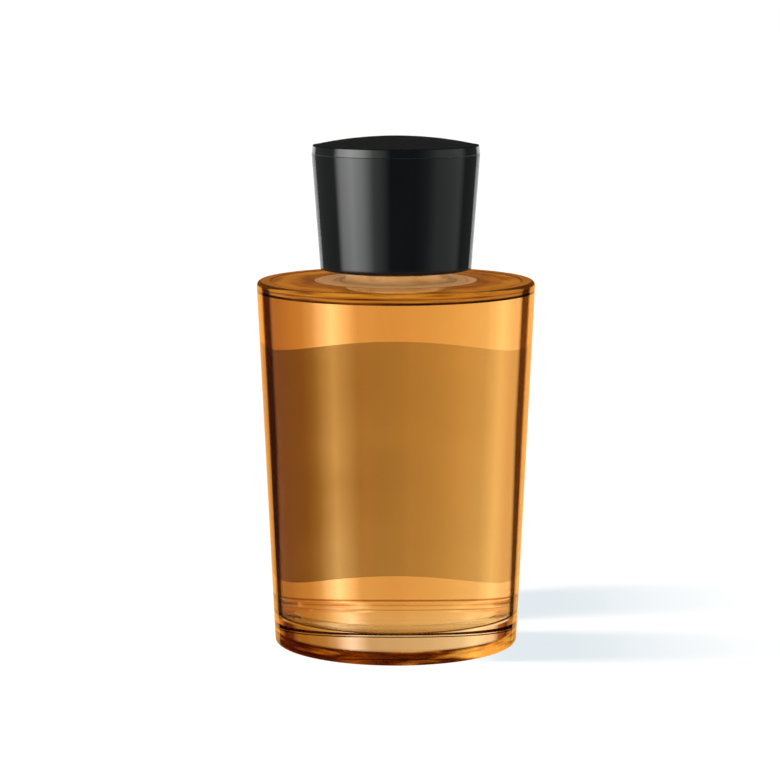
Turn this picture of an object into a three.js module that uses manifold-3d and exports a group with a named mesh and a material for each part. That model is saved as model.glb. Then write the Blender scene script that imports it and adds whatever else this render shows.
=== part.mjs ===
// Splash-on aftershave bottle with a screw cap.
// Millimetres, +Z up. The origin is the centre of the bearing ring that the bottle stands on.
// The front is -Y, and the label is on the back, +Y.

import * as THREE from 'three';
import { mergeVertices } from 'three/addons/utils/BufferGeometryUtils.js';
import Module from 'manifold-3d';

// ---------------------------------------------------------------- driving dimensions

// Bottle body: a cone that widens upwards, with a flat shoulder.
const FOOT_RADIUS = 24.2;
const SHOULDER_RADIUS = 27.6;
const SHOULDER_HEIGHT = 72.6;
const SHOULDER_EDGE_RADIUS = 0.9;
const HEEL_RADIUS = 0.6;
const WALL = 2.6;
const BASE_THICKNESS = 6;
const PUNT_DEPTH = 0.9;
const BEARING_RING_WIDTH = 3.4;
const INNER_FLOOR_FILLET = 0.8;
const INNER_SHOULDER_FILLET = 0.7;
const SHOULDER_THICKNESS_OUTER = 1.7;
const SHOULDER_THICKNESS_NECK = 1.4;

// Neck finish, with a single-start right-hand thread.
const NECK_RADIUS = 9.8;
const NECK_BORE_RADIUS = 6.6;
const NECK_ROOT_FILLET = 1.2;
const LIP_HEIGHT = 83.4;
const LIP_ROUNDING = 0.6;
const THREAD_PITCH = 3.175;
const THREAD_DEPTH = 1.1;
const THREAD_BASE_WIDTH = 1.5;
const THREAD_CREST_WIDTH = 0.6;
const NECK_THREAD_START = 77.9;
const NECK_THREAD_TURNS = 1.4;
const CAP_THREAD_TURNS = 1.25;
const THREAD_CLEARANCE = 0.3;

// Lotion.
const FIT_GAP = 0.3;
const LOTION_TOP = 70.6;

// Label film on the back of the body. Both of its long edges are arched, so that they stay
// parallel to the rims of the cone.
const LABEL_BOTTOM = 11.2;
const LABEL_TOP = 59.4;
const LABEL_HALF_ANGLE = THREE.MathUtils.degToRad(26);
const LABEL_TOP_ARCH = 2.8;
const LABEL_BOTTOM_ARCH = 2.6;
const LABEL_THICKNESS = 0.15;
const LABEL_GAP = 0.1;

// Pour insert, a plug with a flange that rests on the lip.
const INSERT_FLANGE_RADIUS = 9.1;
const INSERT_FLANGE_THICKNESS = 0.9;
const INSERT_STEM_RADIUS = 6.2;
const INSERT_STEM_WALL = 1.1;
const INSERT_STEM_LENGTH = 8;
const INSERT_BEAD = 0.15;
const POUR_HOLE_RADIUS = 3.05;

// Liner.
const REST_GAP = 0.15;
const LINER_RADIUS = 10.7;
const LINER_THICKNESS = 1;

// Inner cap.
const INNER_CAP_WALL = 1.4;
const INNER_CAP_ROOF = 1.4;
const INNER_CAP_RECESS = 0.5;
const GRIP_RIBS = 24;
const GRIP_RIB_HEIGHT = 0.25;
const GRIP_RIB_WIDTH = 0.5;
const GRIP_RIB_END = 1;

// Cap shell: a cone that widens upwards, closed by a domed top piece.
const CAP_BOTTOM = 74.8;
const CAP_BOTTOM_RADIUS = 14.95;
const CAP_JOINT_HEIGHT = 97.6;
const CAP_JOINT_RADIUS = 16.62;
const CAP_JOINT_GAP = 0.2;
const CAP_BORE_RADIUS = 13.2;
const CAP_BORE_TOP = 89;
const CAP_CHAMBER_RADIUS = 14.3;
const CAP_LOWER_EDGE_RADIUS = 0.4;
const CAP_JOINT_CHAMFER = 0.2;
const CAP_RIM_HEIGHT = 99.36;
const CAP_RIM_RADIUS = 16.43;
const CAP_RIM_ROUNDING = 0.25;
const CAP_DOME_HEIGHT = 1.75;
const CAP_SPIGOT_RADIUS = 13.9;
const CAP_SPIGOT_DEPTH = 3;
const CAP_SPIGOT_WALL = 1.5;
const CAP_TOP_THICKNESS = 1.8;

// Facets round each turned piece.
const BODY_FACETS = 48;
const CAP_FACETS = 48;
const SMALL_FACETS = 36;
const ARC_STEPS = 3;

const TAU = 2 * Math.PI;

// ---------------------------------------------------------------- shape helpers

// Outer radius of the bottle wall at a height.
function bodyRadius(z) {
  return FOOT_RADIUS + (SHOULDER_RADIUS - FOOT_RADIUS) * z / SHOULDER_HEIGHT;
}

// A profile is a list of [radius, height] points. This rounds the corner between two straight
// edges with an arc that is tangent to both.
function roundCorner(before, corner, after, radius, steps = ARC_STEPS) {
  const c = new THREE.Vector2(...corner);
  const toBefore = new THREE.Vector2(...before).sub(c).normalize();
  const toAfter = new THREE.Vector2(...after).sub(c).normalize();
  const half = Math.acos(THREE.MathUtils.clamp(toBefore.dot(toAfter), -1, 1)) / 2;
  const bisector = toBefore.clone().add(toAfter).normalize();
  const centre = c.clone().addScaledVector(bisector, radius / Math.sin(half));
  const tangent = radius / Math.tan(half);
  const start = c.clone().addScaledVector(toBefore, tangent).sub(centre);
  const end = c.clone().addScaledVector(toAfter, tangent).sub(centre);
  let sweep = end.angle() - start.angle();
  if (sweep > Math.PI) sweep -= TAU;
  if (sweep < -Math.PI) sweep += TAU;
  const points = [];
  for (let i = 0; i <= steps; i += 1) {
    const p = start.clone().rotateAround(new THREE.Vector2(), sweep * i / steps).add(centre);
    points.push([p.x, p.y]);
  }
  return points;
}

// Turns a closed outline round the Z axis. A corner is a point with a rounding radius as its
// third number. The outline runs counter-clockwise in the (radius, height) plane, so that the
// faces point out.
function turned(outline, facets) {
  const count = outline.length;
  const points = [];
  outline.forEach(([r, z, rounding], i) => {
    if (rounding) {
      const before = outline[(i + count - 1) % count];
      const after = outline[(i + 1) % count];
      points.push(...roundCorner(before.slice(0, 2), [r, z], after.slice(0, 2), rounding));
    } else {
      points.push([r, z]);
    }
  });
  if (points[0][0] > 0) points.push(points[0]);
  const geometry = new THREE.LatheGeometry(points.map(([r, z]) => new THREE.Vector2(r, z)), facets);
  geometry.rotateX(Math.PI / 2);
  return geometry;
}

// A dome or punt from the axis out to a rim, as points of a shallow parabola.
function crown(apexHeight, rimRadius, rimHeight, steps) {
  const points = [];
  for (let i = 0; i <= steps; i += 1) {
    const t = i / steps;
    points.push([rimRadius * t, apexHeight + (rimHeight - apexHeight) * t * t]);
  }
  return points;
}

// A screw-thread ridge: a straight bar of trapezoid section, bent round the axis as a
// right-hand helix that starts at a height on the +X side and climbs. Its depth fades in and out
// at both ends. The ridge points outwards when the crest radius is larger than the root radius,
// and inwards otherwise.
function threadRidge(rootRadius, crestRadius, startHeight, turns) {
  const buried = 0.35;
  const fadeAngle = 0.6;
  const direction = Math.sign(crestRadius - rootRadius);
  const depth = Math.abs(crestRadius - rootRadius) + buried;
  const section = new THREE.Shape([
    new THREE.Vector2(0, -THREAD_BASE_WIDTH / 2),
    new THREE.Vector2(depth, -THREAD_CREST_WIDTH / 2),
    new THREE.Vector2(depth, THREAD_CREST_WIDTH / 2),
    new THREE.Vector2(0, THREAD_BASE_WIDTH / 2),
  ]);
  const steps = Math.round(turns * SMALL_FACETS);
  const angle = turns * TAU;
  const bar = new THREE.ExtrudeGeometry(section, { depth: angle, steps, bevelEnabled: false });
  const position = bar.attributes.position;
  const startRadius = rootRadius - direction * buried;
  for (let i = 0; i < position.count; i += 1) {
    const t = position.getZ(i);
    const fade = THREE.MathUtils.clamp(Math.min(t, angle - t) / fadeAngle, 0.2, 1);
    const radius = startRadius + direction * position.getX(i) * fade;
    const height = startHeight + THREAD_PITCH * t / TAU + position.getY(i);
    position.setXYZ(i, radius * Math.cos(t), radius * Math.sin(t), height);
  }
  return bar;
}

// ---------------------------------------------------------------- solid booleans

const wasm = await Module();
wasm.setup();

function signedVolume(geometry) {
  const a = new THREE.Vector3();
  const b = new THREE.Vector3();
  const c = new THREE.Vector3();
  const { position } = geometry.attributes;
  const { index } = geometry;
  let volume = 0;
  for (let i = 0; i < index.count; i += 3) {
    a.fromBufferAttribute(position, index.getX(i));
    b.fromBufferAttribute(position, index.getX(i + 1));
    c.fromBufferAttribute(position, index.getX(i + 2));
    volume += a.dot(b.cross(c)) / 6;
  }
  return volume;
}

function mergedCopy(geometry) {
  const bare = geometry.clone();
  bare.deleteAttribute('normal');
  bare.deleteAttribute('uv');
  const merged = mergeVertices(bare, 1e-4);
  if (signedVolume(merged) < 0) {
    merged.index.array.reverse();
  }
  return merged;
}

function toSolid(geometry) {
  const merged = mergedCopy(geometry);
  return new wasm.Manifold(new wasm.Mesh({
    numProp: 3,
    vertProperties: new Float32Array(merged.attributes.position.array),
    triVerts: new Uint32Array(merged.index.array),
  }));
}

function toGeometry(solid) {
  const mesh = solid.getMesh();
  const geometry = new THREE.BufferGeometry();
  geometry.setAttribute('position', new THREE.BufferAttribute(mesh.vertProperties, 3));
  geometry.setIndex(new THREE.BufferAttribute(mesh.triVerts, 1));
  geometry.computeVertexNormals();
  return geometry;
}

function union(geometries) {
  return toGeometry(geometries.map(toSolid).reduce((whole, piece) => whole.add(piece)));
}

// ---------------------------------------------------------------- the pieces

function bottleGlass() {
  const bearingOuter = FOOT_RADIUS - HEEL_RADIUS;
  const bearingInner = bearingOuter - BEARING_RING_WIDTH;
  const innerTop = SHOULDER_HEIGHT - SHOULDER_THICKNESS_OUTER;
  const neckUnderside = SHOULDER_HEIGHT - SHOULDER_THICKNESS_NECK;
  const body = turned([
    ...crown(PUNT_DEPTH, bearingInner, 0, 4),
    [bodyRadius(0), 0, HEEL_RADIUS],
    [SHOULDER_RADIUS, SHOULDER_HEIGHT, SHOULDER_EDGE_RADIUS],
    [NECK_RADIUS, SHOULDER_HEIGHT, NECK_ROOT_FILLET],
    [NECK_RADIUS, LIP_HEIGHT, LIP_ROUNDING],
    [NECK_BORE_RADIUS, LIP_HEIGHT, LIP_ROUNDING],
    [NECK_BORE_RADIUS, neckUnderside, NECK_ROOT_FILLET],
    [bodyRadius(innerTop) - WALL, innerTop, INNER_SHOULDER_FILLET],
    [bodyRadius(BASE_THICKNESS) - WALL, BASE_THICKNESS, INNER_FLOOR_FILLET],
    [0, BASE_THICKNESS],
  ], BODY_FACETS);
  const crest = NECK_RADIUS + THREAD_DEPTH;
  const thread = threadRidge(NECK_RADIUS, crest, NECK_THREAD_START, NECK_THREAD_TURNS);
  return union([body, thread]);
}

function aftershaveLotion() {
  const floor = BASE_THICKNESS + FIT_GAP;
  const inset = WALL + FIT_GAP;
  return turned([
    [0, floor],
    [bodyRadius(floor) - inset, floor, INNER_FLOOR_FILLET],
    [bodyRadius(LOTION_TOP) - inset, LOTION_TOP, INNER_SHOULDER_FILLET],
    [0, LOTION_TOP],
  ], BODY_FACETS);
}

// A strip of the cone on the +Y side, made as an upright sector whose radius then follows the
// wall, and whose ends follow the arched edges.
function rearLabel() {
  const segments = 20;
  const inner = bodyRadius(LABEL_BOTTOM) + LABEL_GAP;
  const outer = inner + LABEL_THICKNESS;
  const start = Math.PI / 2 - LABEL_HALF_ANGLE;
  const end = Math.PI / 2 + LABEL_HALF_ANGLE;
  const sector = new THREE.Shape();
  sector.absarc(0, 0, outer, start, end, false);
  sector.absarc(0, 0, inner, end, start, true);
  const options = { depth: 1, steps: 1, bevelEnabled: false, curveSegments: segments };
  const geometry = new THREE.ExtrudeGeometry(sector, options);
  const position = geometry.attributes.position;
  for (let i = 0; i < position.count; i += 1) {
    const x = position.getX(i);
    const y = position.getY(i);
    const across = Math.atan2(x, y) / LABEL_HALF_ANGLE;
    const bottom = LABEL_BOTTOM - LABEL_BOTTOM_ARCH * across ** 2;
    const top = LABEL_TOP - LABEL_TOP_ARCH * across ** 2;
    const z = THREE.MathUtils.lerp(bottom, top, position.getZ(i));
    const radius = Math.hypot(x, y);
    const scale = (radius + bodyRadius(z) - bodyRadius(LABEL_BOTTOM)) / radius;
    position.setXYZ(i, x * scale, y * scale, z);
  }
  geometry.computeVertexNormals();
  return geometry;
}

function pourInsert() {
  const underside = LIP_HEIGHT + REST_GAP;
  const top = underside + INSERT_FLANGE_THICKNESS;
  const stemEnd = underside - INSERT_STEM_LENGTH;
  const stemInner = INSERT_STEM_RADIUS - INSERT_STEM_WALL;
  const beads = [stemEnd + 2, stemEnd + 4.5].flatMap((z) => [
    [INSERT_STEM_RADIUS, z - 0.6],
    [INSERT_STEM_RADIUS + INSERT_BEAD, z],
    [INSERT_STEM_RADIUS, z + 0.6],
  ]);
  return turned([
    [stemInner, stemEnd],
    [INSERT_STEM_RADIUS - 0.3, stemEnd],
    [INSERT_STEM_RADIUS, stemEnd + 0.6],
    ...beads,
    [INSERT_STEM_RADIUS, underside],
    [INSERT_FLANGE_RADIUS, underside],
    [INSERT_FLANGE_RADIUS, top, 0.3],
    [POUR_HOLE_RADIUS, top, 0.25],
    [POUR_HOLE_RADIUS, underside - 0.2],
    [stemInner, underside - 0.2],
  ], SMALL_FACETS);
}

const INSERT_TOP = LIP_HEIGHT + REST_GAP + INSERT_FLANGE_THICKNESS;
const LINER_BOTTOM = INSERT_TOP + REST_GAP;
const LINER_TOP = LINER_BOTTOM + LINER_THICKNESS;
const ROOF_BOTTOM = LINER_TOP + REST_GAP;
const ROOF_TOP = ROOF_BOTTOM + INNER_CAP_ROOF;

function sealingLiner() {
  return turned([
    [0, LINER_BOTTOM],
    [LINER_RADIUS, LINER_BOTTOM],
    [LINER_RADIUS, LINER_TOP],
    [0, LINER_TOP],
  ], SMALL_FACETS);
}

// Its thread lies half a pitch below the neck's, so the two ridges pass each other with play
// on both flanks.
function threadedInnerCap() {
  const bore = NECK_RADIUS + THREAD_DEPTH + THREAD_CLEARANCE;
  const outside = bore + INNER_CAP_WALL;
  const bottom = CAP_BOTTOM + INNER_CAP_RECESS;
  const cup = turned([
    [bore, bottom],
    [outside, bottom],
    [outside, ROOF_TOP, 0.4],
    [0, ROOF_TOP],
    [0, ROOF_BOTTOM],
    [bore, ROOF_BOTTOM],
  ], SMALL_FACETS);
  const crest = NECK_RADIUS + THREAD_CLEARANCE;
  const thread = threadRidge(bore, crest, NECK_THREAD_START - THREAD_PITCH / 2, CAP_THREAD_TURNS);
  const ribLength = ROOF_TOP - bottom - 2 * GRIP_RIB_END;
  const ribs = Array.from({ length: GRIP_RIBS }, (_, i) => {
    const rib = new THREE.BoxGeometry(2 * GRIP_RIB_HEIGHT, GRIP_RIB_WIDTH, ribLength);
    rib.translate(outside, 0, bottom + GRIP_RIB_END + ribLength / 2);
    rib.rotateZ(TAU * (i + 0.5) / GRIP_RIBS);
    return rib;
  });
  return union([cup, thread, ...ribs]);
}

function capShell() {
  return turned([
    [CAP_BORE_RADIUS, CAP_BOTTOM],
    [CAP_BOTTOM_RADIUS, CAP_BOTTOM, CAP_LOWER_EDGE_RADIUS],
    [CAP_JOINT_RADIUS, CAP_JOINT_HEIGHT - CAP_JOINT_CHAMFER],
    [CAP_JOINT_RADIUS - CAP_JOINT_CHAMFER, CAP_JOINT_HEIGHT],
    [CAP_CHAMBER_RADIUS, CAP_JOINT_HEIGHT],
    [CAP_CHAMBER_RADIUS, CAP_BORE_TOP + 1],
    [CAP_BORE_RADIUS, CAP_BORE_TOP],
  ], CAP_FACETS);
}

function capTop() {
  const seat = CAP_JOINT_HEIGHT + CAP_JOINT_GAP;
  const spigotEnd = seat - CAP_SPIGOT_DEPTH;
  const spigotInner = CAP_SPIGOT_RADIUS - CAP_SPIGOT_WALL;
  const apex = CAP_RIM_HEIGHT + CAP_DOME_HEIGHT;
  const dome = crown(apex, CAP_RIM_RADIUS - CAP_RIM_ROUNDING, CAP_RIM_HEIGHT, 6);
  return turned([
    [0, apex - CAP_TOP_THICKNESS],
    [spigotInner, CAP_RIM_HEIGHT - 0.5],
    [spigotInner, spigotEnd],
    [CAP_SPIGOT_RADIUS, spigotEnd],
    [CAP_SPIGOT_RADIUS, seat],
    [CAP_JOINT_RADIUS - CAP_JOINT_CHAMFER, seat],
    [CAP_JOINT_RADIUS - 0.02, seat + CAP_JOINT_CHAMFER],
    [CAP_RIM_RADIUS, CAP_RIM_HEIGHT - CAP_RIM_ROUNDING],
    ...dome.reverse(),
  ], CAP_FACETS);
}

// ---------------------------------------------------------------- materials and assembly

function material(color, roughness, opacity = 1) {
  return new THREE.MeshStandardMaterial({
    color,
    roughness,
    metalness: 0,
    transparent: opacity < 1,
    opacity,
  });
}

const flintGlass = material(0xf3efe8, 0.03, 0.35);
const amberLotion = material(0xd9822b, 0.05, 0.7);
const labelFilm = material(0xb9a27a, 0.3, 0.6);
const insertPlastic = material(0xe9e7e0, 0.4);
const linerFoam = material(0xf2f1ee, 0.8);
const innerCapPlastic = material(0x2a2a2b, 0.5);
const blackGloss = material(0x0c0d0e, 0.12);
const blackGlossTop = material(0x101112, 0.12);

function piece(name, geometry, finish) {
  const mesh = new THREE.Mesh(geometry, finish);
  mesh.name = name;
  return mesh;
}

const bottle = new THREE.Group();
bottle.add(
  piece('bottle_glass', bottleGlass(), flintGlass),
  piece('aftershave_lotion', aftershaveLotion(), amberLotion),
  piece('rear_label', rearLabel(), labelFilm),
  piece('pour_insert', pourInsert(), insertPlastic),
);

const cap = new THREE.Group();
cap.add(
  piece('sealing_liner', sealingLiner(), linerFoam),
  piece('threaded_inner_cap', threadedInnerCap(), innerCapPlastic),
  piece('cap_shell', capShell(), blackGloss),
  piece('cap_top', capTop(), blackGlossTop),
);

const aftershaveBottle = new THREE.Group();
aftershaveBottle.add(bottle, cap);

export default aftershaveBottle;
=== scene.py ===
"""Aftershave bottle: the finished look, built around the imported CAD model.

Lengths named in millimetres are turned into metres by the MM factor. The bottle stands on z = 0,
its front is -Y and its label is on +Y.
"""

import math

import bpy
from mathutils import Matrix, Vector

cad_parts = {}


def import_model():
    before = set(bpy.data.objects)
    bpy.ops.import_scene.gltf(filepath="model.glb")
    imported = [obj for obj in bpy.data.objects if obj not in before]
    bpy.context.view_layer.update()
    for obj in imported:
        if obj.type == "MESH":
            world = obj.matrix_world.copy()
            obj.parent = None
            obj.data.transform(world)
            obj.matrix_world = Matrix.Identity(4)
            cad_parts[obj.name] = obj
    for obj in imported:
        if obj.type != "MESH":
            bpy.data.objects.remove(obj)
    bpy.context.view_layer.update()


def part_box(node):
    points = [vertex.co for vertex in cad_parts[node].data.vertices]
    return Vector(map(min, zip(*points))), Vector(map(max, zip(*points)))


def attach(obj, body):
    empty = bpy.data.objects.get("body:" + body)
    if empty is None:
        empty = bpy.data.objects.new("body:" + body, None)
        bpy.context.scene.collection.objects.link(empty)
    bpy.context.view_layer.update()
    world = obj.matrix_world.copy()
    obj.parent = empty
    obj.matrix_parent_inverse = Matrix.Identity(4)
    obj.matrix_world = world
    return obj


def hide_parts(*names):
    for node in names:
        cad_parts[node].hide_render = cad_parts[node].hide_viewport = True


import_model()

MM = 0.001
TAU = 2 * math.pi

# ---------------------------------------------------------------- dimensions, in millimetres

FOOT_RADIUS = 24.2
SHOULDER_RADIUS = 27.6
SHOULDER_HEIGHT = 72.6
SHOULDER_EDGE_RADIUS = 0.9
HEEL_RADIUS = 0.6
WALL = 2.6
BASE_THICKNESS = 6.0
PUNT_DEPTH = 0.9
BEARING_RING_WIDTH = 3.4
INNER_FLOOR_FILLET = 0.8
INNER_SHOULDER_FILLET = 0.7
SHOULDER_THICKNESS_OUTER = 1.7
SHOULDER_THICKNESS_NECK = 1.4

NECK_RADIUS = 9.8
NECK_BORE_RADIUS = 6.6
NECK_ROOT_FILLET = 1.2
LIP_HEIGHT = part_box("bottle_glass")[1].z / MM
LIP_ROUNDING = 0.6
THREAD_PITCH = 3.175
THREAD_DEPTH = 1.1
THREAD_BASE_WIDTH = 1.5
THREAD_CREST_WIDTH = 0.6
NECK_THREAD_START = 77.9
NECK_THREAD_TURNS = 1.4
CAP_THREAD_TURNS = 1.25
THREAD_CLEARANCE = 0.3
THREAD_FADE = 0.6

LOTION_OVERLAP = 0.05
LOTION_LEVEL = SHOULDER_HEIGHT - SHOULDER_THICKNESS_NECK - 0.3
NECK_RING_RADIUS = 16.6
NECK_RING_TOP = 1.6

LABEL_BOTTOM = 11.2
LABEL_TOP = 59.4
LABEL_HALF_ANGLE = math.radians(26)
LABEL_TOP_ARCH = 2.8
LABEL_BOTTOM_ARCH = 2.6
LABEL_CORNER = 1.5
LABEL_GAP = 0.1
LABEL_THICKNESS = 0.12
LABEL_COLUMNS = 96
LABEL_ROWS = 64

CAP_BOTTOM = 74.8
CAP_BOTTOM_RADIUS = 14.95
CAP_JOINT_HEIGHT = 97.6
CAP_JOINT_RADIUS = 16.62
CAP_JOINT_GAP = 0.03
CAP_JOINT_ROUNDING = 0.06
CAP_BORE_RADIUS = 13.2
CAP_BORE_TOP = 89.0
CAP_BORE_ROUNDING = 0.15
CAP_CHAMBER_RADIUS = 14.3
CAP_CHAMBER_BOTTOM = CAP_BORE_TOP + 1
CAP_LOWER_EDGE_RADIUS = 0.4
CAP_RIM_HEIGHT = 99.36
CAP_RIM_RADIUS = 16.43
CAP_RIM_ROUNDING = 0.25
CAP_DOME_HEIGHT = 1.75
CAP_SPIGOT_RADIUS = 13.9
CAP_SPIGOT_DEPTH = 3.0
CAP_SPIGOT_WALL = 1.5
CAP_TOP_THICKNESS = 1.8
CAP_TOP_INSET = 0.02
CAP_CEILING_DROP = 0.5

INSERT_FLANGE_RADIUS = 9.1
INSERT_FLANGE_THICKNESS = 0.9
INSERT_STEM_RADIUS = 6.2
INSERT_STEM_WALL = 1.1
INSERT_STEM_LENGTH = 8.0
INSERT_STEM_TAPER = 0.3
INSERT_STEM_TAPER_HEIGHT = 0.8
INSERT_BEAD = 0.15
INSERT_BEAD_WIDTH = 1.2
INSERT_BEAD_PLACES = (2, 4.5)
INSERT_HOLE_DEPTH = 0.2
POUR_HOLE_RADIUS = 3.05
POUR_HOLE_ROUNDING = 0.25
REST_GAP = 0.15
LINER_RADIUS = 10.7
LINER_THICKNESS = 1.0
LINER_DENT_RADIUS = 8.0
LINER_DENT_WIDTH = 1.2
LINER_DENT_DEPTH = 0.08
INNER_CAP_WALL = 1.4
INNER_CAP_ROOF = 1.4
INNER_CAP_ROOF_ROUNDING = 0.4
INNER_CAP_RECESS = 0.5
GRIP_RIBS = 24
GRIP_RIB_HEIGHT = 0.25
GRIP_RIB_END = 1.0
GRIP_RIB_FADE = 0.5
SMALL_ROUNDING = 0.2
PLUG_ROUNDING = 0.3

SEGMENTS = 192
RIBBED_SEGMENTS = 240
ARC_STEPS = 10
CURVE_STEPS = 16
BUMP_STEPS = 8
EDGE_STEP = 0.1
THREAD_MESH_STEP = 0.15
RIB_MESH_STEP = 0.5
TOLERANCE = 0.01

# ---------------------------------------------------------------- camera and light
# Lengths are in millimetres, and angles in degrees but for the camera's tilt, in radians.

CAMERA_PLACE = (-1.17, -589.3, 133.5)
CAMERA_TILT_DOWN = 0.1398
CAMERA_LENS = 137.95384
CAMERA_SENSOR = 36

FLOOR_HALF_SIZE = 6000
DRUM_RADIUS = 900
DRUM_STEPS = 60
DRUM_BOTTOM = -900
CAP_STRIPS_TOP = 3000
CAP_STRIPS_REACH = 143
CAP_STRIPS_RISE = (-120, 50)
CAP_STRIPS_GAIN = 1.7
CAP_STRIPS_FADE = (250, 420)
CAP_SHEET_TOP = 120
EDGE_SHEET_TOP = 60
SHOULDER_SHEET_BOTTOM = 60
SHOULDER_SHEET_TOP = 900
# Bearings in degrees to the left of the front, from the left of straight back to the right of it.
BACK_SHEET = (145, 215)

SUN_ELEVATIONS = (38, 44, 50, 56, 62)
SUN_ANGLE = 12
# Each shadow card stands across this X, and reaches between two Y at its bottom and at its top.
CARD_X = 10
CARD_BOTTOM = 8
CARD_TOP = 60
SHADOW_CARDS = {
    "shadow_card_front": ((-20.5, 7), (-20.5, 7)),
    "shadow_card_back": ((15, 44), (26, 60)),
}

# ---------------------------------------------------------------- colours

WHITE = (1.0, 1.0, 1.0)
BLACK = (0.0, 0.0, 0.0)
GLASS_CLEAR = (0.985, 0.985, 0.975)
GLASS_ABSORPTION = (4.0, 13.0, 31.0)
LOTION_ABSORPTION = (4.0, 23.0, 58.0)

# Tints that the glass and the film give to light that passes their skin. Each is the square of
# what gets through. GLASS_RIM and BASE_RIM go from face on (0) to edge on (1). The two fades go
# by how level a face is, from upright (0) to flat (1).
# The rim's dark band is painted shade just inside the glass's edges, and its bright amber is painted
# light on the edges.
PAINTED_RIM_SHADE = (0.03, 0.007, 0.0002)
PAINTED_RIM_LIGHT = (0.95, 0.52, 0.1)
GLASS_RIM = [
    (0, GLASS_CLEAR),
    (0.555, GLASS_CLEAR),
    (0.605, PAINTED_RIM_SHADE),
    (0.7, PAINTED_RIM_SHADE),
    (0.765, PAINTED_RIM_LIGHT),
    (1, (1.0, 0.75, 0.4)),
]
RIM_NARROWING = 0.06
RIM_NARROW_BELOW = 10
RIM_WIDE_ABOVE = 45
# The neck's dark tan tint is painted shade from the cap, in the lotion's amber.
NECK_SHADE_TAN = (0.2, 0.07, 0.006)
# The base's rim tint is painted as well: a dark band of painted shade inside its edges and painted
# amber light on them.
BASE_RIM = [
    (0, GLASS_CLEAR),
    (0.42, GLASS_CLEAR),
    (0.49, (0.2, 0.04, 0.004)),
    (0.6, (0.025, 0.0015, 0.0)),
    (0.72, (0.7, 0.2, 0.03)),
    (1, (1.0, 0.5, 0.15)),
]
BASE_STREAKS = [(0.35, (0.6, 0.36, 0.23)), (0.65, (0.92, 0.7, 0.56))]
# Light that leaves by the underside is darkened to deep amber: painted shade where the bottle stands.
UNDERSIDE_SHADE = (0.12, 0.015, 0.001)
UNDERSIDE_TOP = PUNT_DEPTH + 0.2
UNDERSIDE_FADE = (0.6, 0.8)
WALL_FADE = (0.35, 0.75)
# A thin line of painted shade on the wall at the height of the inner floor.
FLOOR_SHADE_LINE = (0.3, 0.1, 0.012)
FLOOR_LINE_HEIGHT = BASE_THICKNESS + 0.5
FLOOR_LINE_HALF = 0.1
FLOOR_LINE_FADE = 0.2
HEEL_TOP = 3.1
# The heel's streaks are painted shade with painted amber glints.
HEEL_SHADE_AND_GLINTS = [
    (0.3, (0.06, 0.003, 0.0)),
    (0.5, (0.006, 0.0002, 0.0)),
    (0.58, (0.03, 0.0012, 0.0)),
    (0.64, (0.25, 0.04, 0.001)),
    (0.72, (0.9, 0.35, 0.03)),
]
# The film's darker tint to the left, as seen from the front, is painted shade.
FILM_TINT = [(-9, (0.33, 0.31, 0.17)), (0, (0.53, 0.56, 0.5)), (9, (0.68, 0.69, 0.6))]
FILM_CLOUD = 1.5

# How strongly the glass reflects inside where the lotion wets it.
WETTED_GLOSS = (0.35, 0.12, 0.03)

# Opaque parts on which light and shade are painted: the top of the lotion, its rounded edge, the top
# of the wall and the neck ring.
SHOULDER_GLOW = [
    (0.3, (0.16, 0.03, 0.0)),
    (0.42, (0.4, 0.09, 0.002)),
    (0.52, (0.56, 0.15, 0.006)),
    (0.7, (0.68, 0.22, 0.02)),
]
SHOULDER_GLOW_OUTWARD = (1.45, 1.75, 2.0)
SHOULDER_EDGE_GLOW = [(0.5, (0.08, 0.02, 0.0)), (0.7, (0.4, 0.1, 0.005))]
RIM_GLOW = [(0.35, (0.38, 0.1, 0.004)), (0.6, (0.58, 0.2, 0.02))]
RING_LINES = [
    (0.3, (0.4, 0.16, 0.045)),
    (0.42, (0.72, 0.32, 0.1)),
    (0.56, (0.8, 0.4, 0.15)),
    (0.68, (0.6, 0.24, 0.06)),
]
# The ring's dark outline is painted shade.
RING_SHADE_OUTLINE = (0.3, 0.08, 0.012)

INSERT_WHITE = [(0.3, (0.78, 0.77, 0.74)), (0.7, (0.86, 0.85, 0.83))]
LINER_WHITE = [(0.3, (0.8, 0.79, 0.77)), (0.7, (0.92, 0.91, 0.9))]
CAP_BLACK = [(0.3, (0.0045, 0.005, 0.0052)), (0.7, (0.0065, 0.007, 0.0072))]
# The lighter colour on what faces up on the cap is painted light, a sheen from above.
CAP_TOP_SHEEN = ((0.012, 0.011, 0.01), (0.016, 0.0145, 0.013))
INNER_CAP_BLACK = (0.02, 0.02, 0.021)

# Light behind the bottle as the glass shows it, by degrees to the right of straight back.
BEHIND_GLASS = [
    (-90, WHITE),
    (-60, (1.3, 1.25, 1.1)),
    (-36, (1.5, 1.4, 1.45)),
    (-29, (1.7, 1.85, 2.1)),
    (-22, (1.18, 1.31, 1.47)),
    (0, (0.94, 0.97, 1.0)),
    (8, (0.95, 1.0, 1.08)),
    (14, (1.95, 2.35, 4.0)),
    (20, (1.0, 0.92, 0.88)),
    (24, (0.77, 0.58, 0.3)),
    (36, (0.58, 0.34, 0.08)),
    (50, (0.56, 0.32, 0.07)),
    (60, (1.3, 1.1, 0.8)),
    (90, WHITE),
]

# Strips of light that only the cap reflects, by degrees to the left of the front.
CAP_STRIPS = [
    (-180, 0.04),
    (-111, 0.04),
    (-99, 0.42),
    (-61, 0.36),
    (-45, 0.1),
    (-28, 0.0),
    (8, 0.0),
    (16, 0.3),
    (32, 0.75),
    (48, 3.0),
    (65, 4.1),
    (84, 2.5),
    (94, 0.1),
    (180, 0.04),
]

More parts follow.
